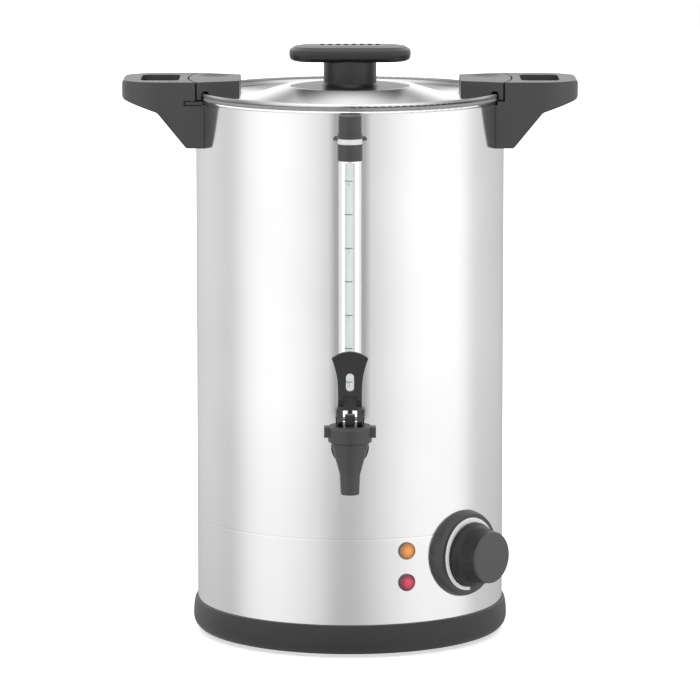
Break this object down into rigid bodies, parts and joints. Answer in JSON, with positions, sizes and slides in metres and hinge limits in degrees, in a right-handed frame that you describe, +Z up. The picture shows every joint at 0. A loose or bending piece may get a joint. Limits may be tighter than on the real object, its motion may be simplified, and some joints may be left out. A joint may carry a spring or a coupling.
{
  "type": "hot water urn",
  "caption": "Tall double-walled steel water urn with a twist-lock lid, side handles, a lever tap at the foot of a sight gauge, a round heat dial and indicator lamps.",
  "frame": {"origin": "on the table, in the middle of the foot ring, on the body's axis", "axes": "+Z up along the body's axis; -Y towards the tap and gauge; +X to the right as seen from the front"},
  "size_m": [0.3684, 0.3235, 0.4805],
  "materials": {
    "polished_steel": "mirror-polished stainless steel",
    "plain_steel": "plain zinc-plated or mill-finish steel",
    "black_plastic": "fine satin black heat-resistant plastic",
    "aluminium": "cast aluminium",
    "brass": "plain brass",
    "silicone": "grey silicone rubber",
    "foot_rubber": "black rubber",
    "white_plastic": "white moulded plastic",
    "scale_plastic": "pale printed plastic strip",
    "print_black": "printed black",
    "print_grey": "printed light grey",
    "amber": "translucent amber lens",
    "red": "translucent red lens",
    "glass": "clear borosilicate glass",
    "wire_brown": "brown flexible insulation",
    "wire_green": "green flexible insulation"
  },
  "bodies": {
    "body": {"base_ring": "black_plastic", "base_plate": "plain_steel", "foot_ring": "foot_rubber", "centre_stud": "plain_steel", "stud_nuts": "plain_steel", "outer_shell": "polished_steel", "inner_tank": "polished_steel", "tank_floor": "polished_steel", "element_plate": "aluminium", "heating_element": "plain_steel", "sensing_bulb": "brass", "thermostat_body": "white_plastic", "inner_brackets": "plain_steel", "dial_plate": "black_plastic", "dial_scale": "print_grey", "case_screws": "plain_steel", "lens_amber": "amber", "lens_red": "red", "lamp_bodies": "white_plastic", "brass_terminals": "brass", "inlet_housing": "black_plastic", "inlet_pins": "brass", "terminal_block": "white_plastic", "cutout_body": "white_plastic", "reset_spring": "plain_steel", "earth_stud": "plain_steel", "wires": "wire_brown", "wire_earth": "wire_green", "tap_body": "black_plastic", "tap_spout": "black_plastic", "tap_washers": "silicone", "tap_nut": "plain_steel", "tap_spring": "plain_steel", "tap_bonnet": "black_plastic", "gauge_glass": "glass", "gauge_seals": "silicone", "gauge_guard": "polished_steel", "gauge_scale": "scale_plastic", "gauge_ticks": "print_black", "gauge_collar": "black_plastic", "gauge_clip": "white_plastic", "gauge_bracket": "black_plastic", "gauge_cap": "black_plastic", "handle_right": "black_plastic", "handle_left": "black_plastic", "handle_screws": "plain_steel"},
    "seal": {"lid_seal": "silicone"},
    "lid": {"lid_pan": "polished_steel", "lid_ear_left": "black_plastic", "lid_ear_right": "black_plastic", "lid_screws": "plain_steel", "knob_base": "black_plastic", "knob_cap": "black_plastic"},
    "dial": {"thermostat_knob": "black_plastic", "thermostat_shaft": "plain_steel"},
    "stem": {"tap_stem": "black_plastic", "tap_seat": "silicone", "tap_pin": "plain_steel"},
    "lever": {"tap_lever": "black_plastic"},
    "reset": {"reset_button": "red"}
  },
  "joints": [
    {"name": "lid_lift", "type": "slide", "parent": "body", "child": "seal", "axis": [0, 0, 1], "range_m": [0, 0.12]},
    {"name": "lid_turn", "type": "hinge", "parent": "seal", "child": "lid", "pos_m": [0, 0, 0.44], "axis": [0, 0, 1], "range_deg": [0, 40]},
    {"name": "dial_turn", "type": "hinge", "parent": "body", "child": "dial", "pos_m": [0.10239, -0.09548, 0.078], "axis": [0.7314, -0.682, 0], "range_deg": [-270, 0]},
    {"name": "lever_tilt", "type": "hinge", "parent": "stem", "child": "lever", "pos_m": [0, -0.17, 0.201], "axis": [1, 0, 0], "range_deg": [0, 60], "stiffness_Nm_per_rad": 0.02, "springref_deg": -48.13},
    {"name": "stem_lift", "type": "slide", "parent": "body", "child": "stem", "axis": [0, 0, 1], "range_m": [0, 0.005], "deforming": ["tap_spring"]},
    {"name": "reset_press", "type": "slide", "parent": "body", "child": "reset", "axis": [0, 0, 1], "range_m": [0, 0.002], "stiffness_N_per_m": 400, "springref_m": -0.002, "deforming": ["reset_spring"]}
  ],
  "couplings": [
    {"joint": "stem_lift", "follows": "lever_tilt", "m_per_rad": 0.00477}
  ]
}
